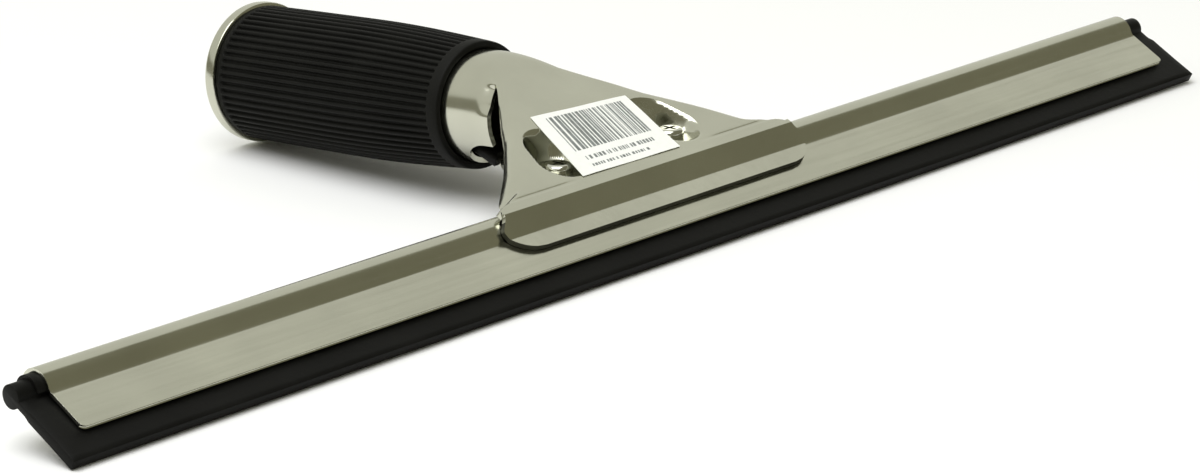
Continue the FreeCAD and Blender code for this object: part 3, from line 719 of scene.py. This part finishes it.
def crease_depth(x, s):
    """Fine pressed line behind the ridge, which fades out towards the middle."""
    reach = smooth(*CREASE_STARTS, abs(x)) * (1.0 - smooth(*CREASE_STOPS, abs(x)))
    return CREASE_DEPTH * reach * math.exp(-((s - CREASE_AT) / CREASE_WIDTH) ** 2)


def jaw_end(point):
    """Half length of the jaw strip at a side-view point: it narrows over the ridge."""
    cos_t, sin_t = turned(BLADE_TILT)
    height = point.y * cos_t - point.x * sin_t
    narrower = fan_width(FAN_WIDTHS[0][0]) - JAW_HALF
    return JAW_HALF + narrower * smooth(LIP_TOP, RIDGE_RISE, height) ** JAW_END_POWER


def jaw_rows():
    """Rows of the jaw strip from its front lip over the bulb to just past the ridge."""
    corners = [blade(JAW_REACH, LIP_TOP), blade(BAND_FOOT, LIP_TOP), ridge(), on_fan(JAW_TOP)]
    path = rounded(corners, JAW_BENDS, JAW_BEND_STEPS)
    dense = []
    for start, end in zip(path, path[1:]):
        steps = max(1, int((end - start).length / JAW_ROW_STEP))
        dense += [start.lerp(end, step / steps) for step in range(steps)]
    dense.append(path[-1])
    rows, along, before = [], 0.0, dense[0]
    for point in dense:
        along += (point - before).length
        before = point
        half = min(JAW_HALF - corner_inset(JAW_CORNER, JAW_CORNER - along), jaw_end(point))
        across = np.linspace(-half, half, 2 * HALF_COLUMNS + 1)
        rows.append([(x, point.x, point.y) for x in across])
    return rows


def fan_rows():
    """Rows of the fan from behind the ridge to where the neck is cut."""
    first = to_handle(*on_fan(FAN_FIRST))[0]
    rows = []
    for s in np.linspace(first, CUT_START, FAN_ROWS):
        row = []
        for x, w in fan_section(s):
            y, z = along_handle(s, w)
            up = (y - ridge()[0]) / turned(FAN_SLOPE)[0]
            z -= pocket_depth(x, y, z) + crease_depth(x, up)
            row.append((x, y, z))
        rows.append(row)
    return rows


def notch_start(x, w):
    """Station where the neck tube begins, further back in the notch under it."""
    if w > 0 or abs(x) >= NOTCH_HALF:
        return CUT_START
    depth = (1.0 - (abs(x) / NOTCH_HALF) ** NOTCH_POWER) ** (1 / NOTCH_POWER)
    return CUT_START + (NOTCH_END - CUT_START) * depth


def drawn_in(x, w, past):
    """How far the tube's wall is drawn in beside its cut edge, past the start of the wall."""
    angle = abs(math.degrees(math.atan2(x, w)))
    share = smooth(*DRAWN_STARTS, angle) * (1.0 - smooth(*DRAWN_STOPS, angle))
    return DRAWN_IN * share * (1.0 - smooth(0.0, DRAWN_REACH, past))


def tube_rows():
    """Rows of the neck tube, from its cut front edge to the end of the handle."""
    table = np.stack([closed_section(s)[:AROUND]
                      for s in np.linspace(CUT_START, ROUND_FROM, NECK_SECTIONS)])
    starts = [notch_start(x, w) for x, w in table[0]]
    rows = []
    for share in (*np.linspace(0.0, 1.0, NECK_ROWS), None):
        row = []
        for column, start in enumerate(starts):
            s = TUBE_END if share is None else start + (UNDER_GRIP - start) * share
            at = clamped((s - CUT_START) / (ROUND_FROM - CUT_START)) * (NECK_SECTIONS - 1)
            low = min(int(at), NECK_SECTIONS - 2)
            x, w = table[low, column] * (1 - at + low) + table[low + 1, column] * (at - low)
            shrink = 1.0 - drawn_in(x, w, s - start) / TUBE_RADIUS
            row.append((x * shrink, *along_handle(s, w * shrink)))
        rows.append(row)
    return rows


def head_shell():
    """Head, neck and handle tube as one shell of pressed sheet."""
    upper, lower = jaw_rows() + fan_rows(), tube_rows()
    verts = [point for row in upper for point in row]
    faces = grid_faces(len(upper), 2 * HALF_COLUMNS + 1)
    base = len(verts)
    verts += [point for row in lower for point in row]
    faces += [tuple(base + index for index in face)
              for face in grid_faces(len(lower), AROUND, True)]
    shell = new_object("head_shell", verts, faces, STEEL_HEAD, SHELL_SMOOTH)
    thicken(shell)
    bevel(shell, *HEAD_EDGE)
    paint_lip_edge_shade(shell)
    return shell


def thicken(shell):
    """Give the sheet its thickness on the inside."""
    upwards = sum(face.normal.z * face.area for face in shell.data.polygons)
    modifier = shell.modifiers.new("sheet", "SOLIDIFY")
    modifier.thickness = SHEET * MM
    modifier.offset = -1.0 if upwards > 0 else 1.0
    apply_modifiers(shell)


def paint_lip_edge_shade(shell):
    """Give the sheared edge of the lip, its front and its two ends, a near-black steel: a darker
    cut edge together with painted shade of the gap beneath the lip.
    """
    shell.data.materials.append(STEEL_EDGE_SHADE)
    down = Vector((0.0, *blade(1.0, 0.0)))
    out = Vector((0.0, *blade(0.0, 1.0)))
    for face in shell.data.polygons:
        spot = (face.center - ORIGIN) / MM
        reach = spot.dot(down)
        on_lip = reach > BAND_FOOT and abs(face.normal.dot(out)) < EDGE_FACING
        near_end = reach > END_FROM and abs(spot.x) > JAW_HALF - END_WITHIN
        # Faces that get the near-black steel with painted shade
        if on_lip or near_end and abs(face.normal.x) > END_FACING:
            face.material_index = 1


# ---------------------------------------------------------------- channel and rubber


def edge_round(start, end):
    """Points of the half round that joins the two faces of a sheet."""
    middle = (start + end) / 2
    arm = start - middle
    points = []
    for step in range(1, EDGE_STEPS):
        cos_a, sin_a = turned(180.0 / EDGE_STEPS * step)
        swung = (arm.x * cos_a + arm.y * sin_a, -arm.x * sin_a + arm.y * cos_a)
        points.append(middle + Vector(swung))
    return points


def sheet_section(path, thickness):
    """Closed section of a bent sheet with rounded edges, from its outer path."""
    outer = [Vector(point) for point in path]
    inner = []
    for index, point in enumerate(outer):
        before = outer[max(index - 1, 0)]
        after = outer[min(index + 1, len(outer) - 1)]
        run = (after - before).normalized()
        inner.append(point + Vector((-run.y, run.x)) * thickness)
    return (outer + edge_round(outer[-1], inner[-1])
            + inner[::-1] + edge_round(inner[0], outer[0]))


def bulb_arc(radius, start, steps):
    """Points of a bulb's circle from an angle (degrees) round to its mirror image."""
    points = []
    for step in range(steps + 1):
        cos_a, sin_a = turned(start + (360.0 - 2 * start) * step / steps)
        points.append((radius * cos_a, radius * sin_a))
    return points


def channel_path():
    """Outer path (u, v) of the channel's section from one lip round to the other."""
    start = math.degrees(math.atan2(LEG_OUT, math.sqrt(BULB_RADIUS ** 2 - LEG_OUT ** 2)))
    upper = [(u, LEG_OUT) for u in LEG_POINTS]
    arc = bulb_arc(BULB_RADIUS, start, CHANNEL_ARC_STEPS)[1:-1]
    return upper + arc + [(u, -v) for u, v in reversed(upper)]


def blade_loop(x, section):
    """Section (u, v) of the blade at x as points."""
    return [(x, *blade(u, v)) for u, v in section]


def channel_sheet():
    """Folded channel with softened edges and round corners on its lips."""
    section = sheet_section(channel_path(), CHANNEL_SHEET)
    ends = [CHANNEL_HALF - LIP_CORNER + LIP_CORNER * turned(90.0 / LIP_CORNER_STEPS * step)[1]
            for step in range(LIP_CORNER_STEPS + 1)]
    loops = []
    for x in [-x for x in reversed(ends)] + list(CHANNEL_MIDDLE) + ends:
        inset = corner_inset(LIP_CORNER, abs(x) - CHANNEL_HALF + LIP_CORNER)
        trimmed = [(u - inset * smooth(*LIP_TRIM, u), v) for u, v in section]
        loops.append(blade_loop(x, trimmed))
    return bevel(swept("channel_sheet", loops, STEEL_CHANNEL, STRIP_SMOOTH), *STRIP_EDGE)


def rubber_section(reach, lean):
    """Section (u, v) of the rubber strip with its edge at a reach and leaning a little."""
    neck = math.degrees(math.asin(RUBBER_NECK / RUBBER_BULB))
    side = [(RUBBER_NECK_END, RUBBER_NECK)]
    side += [(u, RUBBER_HALF) for u in RUBBER_BODY_POINTS]
    side += [(reach - RUBBER_EDGE_ZONE, RUBBER_HALF), (reach - RUBBER_EDGE_CUT, RUBBER_HALF),
             (reach, RUBBER_HALF - RUBBER_EDGE_CUT)]
    points = bulb_arc(RUBBER_BULB, neck, RUBBER_ARC_STEPS)
    points += [(u, -v) for u, v in side] + list(reversed(side))
    return [(u, v + lean * smooth(LEAN_START, RUBBER_REACH, u)) for u, v in points]


def rubber_blade():
    """Rubber strip with the slight waves of its free edge."""
    loops = []
    for x in np.linspace(-RUBBER_HALF_LENGTH, RUBBER_HALF_LENGTH, RUBBER_STATIONS):
        lean = sum(size * math.sin(x / length + phase) for size, length, phase in LEAN_WAVES)
        reach = RUBBER_REACH - EDGE_SHORT + EDGE_WAVE[0] * math.sin(x / EDGE_WAVE[1])
        loops.append(blade_loop(x, rubber_section(reach, lean * LEAN_SHARE)))
    return bevel(swept("rubber_blade", loops, BLADE_RUBBER, STRIP_SMOOTH), *STRIP_EDGE)


# ---------------------------------------------------------------- grip and ring


def grip_radius(s):
    """Outer radius of the grip at a station: narrow in front, fullest in the middle."""
    middle = (GRIP_START + GRIP_END) / 2
    if s < middle:
        share = (s - GRIP_START) / (middle - GRIP_START)
        return GRIP_FRONT + (GRIP_MIDDLE - GRIP_FRONT) * math.sin(share * math.pi / 2)
    share = (s - middle) / (GRIP_END - middle)
    return GRIP_MIDDLE + (GRIP_REAR - GRIP_MIDDLE) * share * share


def rib_wave(s, radius, angle):
    """Radius of the ribbed part of the grip: rounded ribs with narrow grooves."""
    if radius < RIB_LEAST_RADIUS:
        return radius
    inside = smooth(*RIBS_START, s) * (1.0 - smooth(*RIBS_STOP, s))
    phase = (angle * RIB_COUNT / (2 * math.pi)) % 1.0
    groove = 1.0 - smooth(*RIB_FLANK, abs(phase - 0.5))
    crown = RIB_CROWN * math.cos(2 * math.pi * phase)
    return radius - inside * (RIB_DEPTH * groove - crown + RIB_CROWN)


def grip_cover():
    """Rubber sleeve with ribs along it, a plain collar in front and a rolled rear edge."""
    stations = [GRIP_START + behind for behind in COLLAR_RINGS]
    for first, last, count in RIB_RUNS:
        stations += list(np.linspace(first, last, count))
    profile = [(GRIP_START + behind, radius) for behind, radius in GRIP_NOSE]
    profile += [(s, grip_radius(s)) for s in stations]
    profile += [(GRIP_END - before, radius) for before, radius in GRIP_TAIL]
    steps = RIB_COUNT * RIB_POINTS
    return lathe("grip_cover", profile, GRIP_RUBBER, steps, ROUND_SMOOTH, rib_wave)


def ferrule_ring():
    """Rolled metal ring that closes the end of the handle."""
    roll = []
    for step in range(FERRULE_ROLL_STEPS + 1):
        cos_a, sin_a = turned(90.0 - 90.0 / FERRULE_ROLL_STEPS * step)
        roll.append((FERRULE_END - FERRULE_ROLL + FERRULE_ROLL * cos_a,
                     FERRULE_RADIUS - FERRULE_ROLL + FERRULE_ROLL * sin_a))
    profile = (*FERRULE_FRONT, *roll, *FERRULE_INSIDE)
    return lathe("ferrule_ring", profile, STEEL_HEAD, FERRULE_STEPS, RING_SMOOTH)


# ---------------------------------------------------------------- label


def on_label(a, b, lift):
    """Point at share a across and b up the label, lifted off the fan."""
    (x0, s0), (x1, s1), (x2, s2), (x3, s3) = LABEL_CORNERS
    x = (x0 * (1 - a) + x1 * a) * (1 - b) + (x3 * (1 - a) + x2 * a) * b
    s = (s0 * (1 - a) + s1 * a) * (1 - b) + (s3 * (1 - a) + s2 * a) * b
    rim = 1.0 - smooth(0.0, LABEL_CURL_RIM, min(a, 1 - a, b, 1 - b))
    wave = math.sin(LABEL_CURL_WAVES[0] * a + LABEL_CURL_WAVES[1] * b)
    return (x, *on_fan(s, lift + LABEL_CURL * rim * (0.5 + 0.5 * wave)))


def label_paper():
    """Paper label with a slightly lifted rim."""
    count = LABEL_STEPS + 1
    verts = [on_label(column / LABEL_STEPS, row / LABEL_STEPS, lift)
             for lift in (LABEL_LIFT + LABEL_THICK, LABEL_LIFT)
             for row in range(count) for column in range(count)]
    faces = grid_faces(count, count)
    base = count * count
    faces += [tuple(base + index for index in reversed(face)) for face in faces]
    rim = list(range(count))
    rim += [row * count + LABEL_STEPS for row in range(1, count)]
    rim += [LABEL_STEPS * count + column for column in reversed(range(LABEL_STEPS))]
    rim += [row * count for row in reversed(range(1, LABEL_STEPS))]
    for here, after in zip(rim, rim[1:] + rim[:1]):
        faces.append((here, after, base + after, base + here))
    return new_object("label_paper", verts, faces, LABEL_PAPER, ROUND_SMOOTH)


def printed_patch(verts, faces, a0, a1, b0, b1):
    """Thin raised patch of ink between two shares across and two up the label."""
    steps = max(1, int((b1 - b0) * LABEL_STEPS))
    face_lift = LABEL_LIFT + LABEL_THICK
    base = len(verts)
    for lift in (face_lift - PRINT_SUNK, face_lift + PRINT_LIFT):
        for row in range(steps + 1):
            b = b0 + (b1 - b0) * row / steps
            verts += [on_label(a0, b, lift), on_label(a1, b, lift)]
    above = base + 2 * (steps + 1)
    for row in range(steps):
        low, high = base + 2 * row, above + 2 * row
        faces.append((low, low + 2, low + 3, low + 1))
        faces.append((high, high + 1, high + 3, high + 2))
        faces.append((low, high, high + 2, low + 2))
        faces.append((low + 1, low + 3, high + 3, high + 1))
    faces.append((base, base + 1, above + 1, above))
    last, top = base + 2 * steps, above + 2 * steps
    faces.append((last, top, top + 1, last + 1))


def label_print():
    """Generic bars and two rows of plain strokes, none of which can be read."""
    verts, faces = [], []
    for (a, last), (low, high), widths, scales, gaps in PRINT_ROWS:
        while a < last:
            width = random.choice(widths) * scales[0 if a < 0.5 else 1]
            printed_patch(verts, faces, a, a + width, low, high)
            a += width + random.choice(gaps)
    return new_object("label_print", verts, faces, LABEL_INK, PRINT_SMOOTH)


# ---------------------------------------------------------------- spring


def spring_coil():
    """Compression spring under the fan, with a closed coil at each end."""
    height = SPRING_TOP - SPRING_BOTTOM - 2 * SPRING_WIRE
    open_pitch = (height - 2 * SPRING_CLOSED_PITCH) / (SPRING_TURNS - 2)
    loops = []
    for step in range(SPRING_TURNS * TURN_STEPS + 1):
        turns = step / TURN_STEPS
        closed = min(turns, 1.0) + max(turns - (SPRING_TURNS - 1), 0.0)
        rise = closed * SPRING_CLOSED_PITCH + (turns - closed) * open_pitch
        sin_a, cos_a = math.sin(2 * math.pi * turns), math.cos(2 * math.pi * turns)
        loop = []
        for corner in range(WIRE_STEPS):
            angle = 2 * math.pi * corner / WIRE_STEPS
            radius = SPRING_COIL + SPRING_WIRE * math.cos(angle)
            z = SPRING_BOTTOM + SPRING_WIRE + rise + SPRING_WIRE * math.sin(angle)
            loop.append((radius * cos_a, SPRING_Y + radius * sin_a, z))
        loops.append(loop)
    return swept("spring_coil", loops, STEEL_SPRING, ROUND_SMOOTH)


# ---------------------------------------------------------------- assembly


def repaint(node, material):
    """Give a part kept from the CAD model its material."""
    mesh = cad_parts[node].data
    mesh.materials.clear()
    mesh.materials.append(material)


def add_piece(piece, body, node=None):
    """Fix a new piece to its body and hide the part that it stands for."""
    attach(piece, body)
    if node:
        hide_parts(node)


add_piece(head_shell(), "handle", "handle_body")
add_piece(channel_sheet(), "channel", "blade_channel")
add_piece(rubber_blade(), "rubber", "squeegee_rubber")
add_piece(grip_cover(), "handle", "grip_sleeve")
add_piece(ferrule_ring(), "handle", "rear_ferrule")
add_piece(label_paper(), "handle", "barcode_label")
add_piece(label_print(), "handle")
spring = spring_coil()
add_piece(spring, "handle", "clamp_spring")
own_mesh(spring)

repaint("lower_jaw", STEEL_HEAD)
for node in ("pivot_screws", "pivot_spacers", "pivot_washers", "lock_nuts"):
    repaint(node, STEEL_BRIGHT)
for node in ("release_tab", "spring_post", "spring_seat", "end_plug_left", "end_plug_right",
             "pole_socket_liner"):
    repaint(node, BLACK_PLASTIC)


# ---------------------------------------------------------------- floor, light and camera


def floor():
    """Plain pale floor under the part."""
    made, nodes, links, shader = start_material("floor_paint", (0.95, 0.95, 0.95), 0.9)
    cloud = stretched_noise(nodes, links, FLOOR_SCALE, detail=3.0)
    vary_colour(nodes, links, shader, cloud, (0.94, 0.94, 0.94), (0.96, 0.96, 0.96))
    mesh = bpy.data.meshes.new("floor")
    level = CAD_BOX[0][2] - FLOOR_DROP
    corners = [(x * FLOOR_HALF, y * FLOOR_HALF, level)
               for x, y in ((-1, -1), (1, -1), (1, 1), (-1, 1))]
    mesh.from_pydata(corners, [], [(0, 1, 2, 3)])
    item = bpy.data.objects.new("floor", mesh)
    item.data.materials.append(made)
    bpy.context.scene.collection.objects.link(item)


def eased_edge(nodes, links, value, edge, low=0.0):
    """Smooth step over an edge of the surround, from low up to 1."""
    step = nodes.new("ShaderNodeMapRange")
    step.interpolation_type = "SMOOTHSTEP"
    step.inputs["From Min"].default_value = edge[0]
    step.inputs["From Max"].default_value = edge[1]
    step.inputs["To Min"].default_value = low
    links.new(value, step.inputs["Value"])
    return step.outputs["Result"]


def combined(nodes, links, operation, first, second):
    """Two values combined by a math node."""
    node = nodes.new("ShaderNodeMath")
    node.operation = operation
    links.new(first, node.inputs[0])
    links.new(second, node.inputs[1])
    return node.outputs["Value"]


def studio():
    """Surround that is dim in front of the part and bright behind it, less so low on the left."""
    world = bpy.data.worlds.new("studio")
    bpy.context.scene.world = world
    world.use_nodes = True
    nodes, links = world.node_tree.nodes, world.node_tree.links
    way = nodes.new("ShaderNodeTexCoord")
    split = nodes.new("ShaderNodeSeparateXYZ")
    links.new(way.outputs["Generated"], split.inputs["Vector"])
    rear = eased_edge(nodes, links, split.outputs["Y"], REAR_EDGE)
    high = eased_edge(nodes, links, split.outputs["Z"], HIGH_EDGE)
    right = eased_edge(nodes, links, split.outputs["X"], RIGHT_EDGE, LEFT_SHARE)
    either = combined(nodes, links, "MAXIMUM", right, high)
    bright = combined(nodes, links, "MULTIPLY", rear, either)
    mix = nodes.new("ShaderNodeMix")
    mix.data_type = "RGBA"
    mix.inputs["A"].default_value = (*DIM_SIDE, 1.0)
    mix.inputs["B"].default_value = (*BRIGHT_SIDE, 1.0)
    links.new(bright, mix.inputs["Factor"])
    links.new(mix.outputs["Result"], nodes["Background"].inputs["Color"])


def overhead_light():
    """Square soft light above the part and to its left."""
    data = bpy.data.lights.new("overhead", "AREA")
    data.shape = "SQUARE"
    data.size = LIGHT_SIZE
    data.energy = LIGHT_POWER
    data.color = LIGHT_COLOUR
    item = bpy.data.objects.new("overhead", data)
    item.location = LIGHT_PLACE
    aim = Vector(LIGHT_AIM) - Vector(LIGHT_PLACE)
    item.rotation_euler = aim.to_track_quat("-Z", "Y").to_euler()
    bpy.context.scene.collection.objects.link(item)


def camera():
    """Camera at the viewing angle, its axes turned by the azimuth, elevation and roll."""
    cos_a, sin_a = turned(CAMERA_AZIMUTH)
    cos_e, sin_e = turned(CAMERA_ELEVATION)
    cos_r, sin_r = turned(CAMERA_ROLL)
    back = Vector((sin_a * cos_e, -cos_a * cos_e, sin_e))
    level = Vector((cos_a, sin_a, 0.0))
    above = back.cross(level)
    right = cos_r * level + sin_r * above
    up = cos_r * above - sin_r * level
    data = bpy.data.cameras.new("camera")
    data.sensor_fit = "HORIZONTAL"
    data.sensor_width = CAMERA_SENSOR
    data.lens = CAMERA_LENS
    data.clip_start, data.clip_end = CAMERA_CLIPS
    item = bpy.data.objects.new("camera", data)
    bpy.context.scene.collection.objects.link(item)
    turn = Matrix((right, up, back)).transposed().to_4x4()
    spot = place(back * CAMERA_DISTANCE + right * CAMERA_RIGHT + up * CAMERA_UP)
    item.matrix_world = Matrix.Translation(spot) @ turn
    bpy.context.scene.camera = item


floor()
studio()
overhead_light()
camera()
bpy.context.scene.view_settings.view_transform = "Standard"
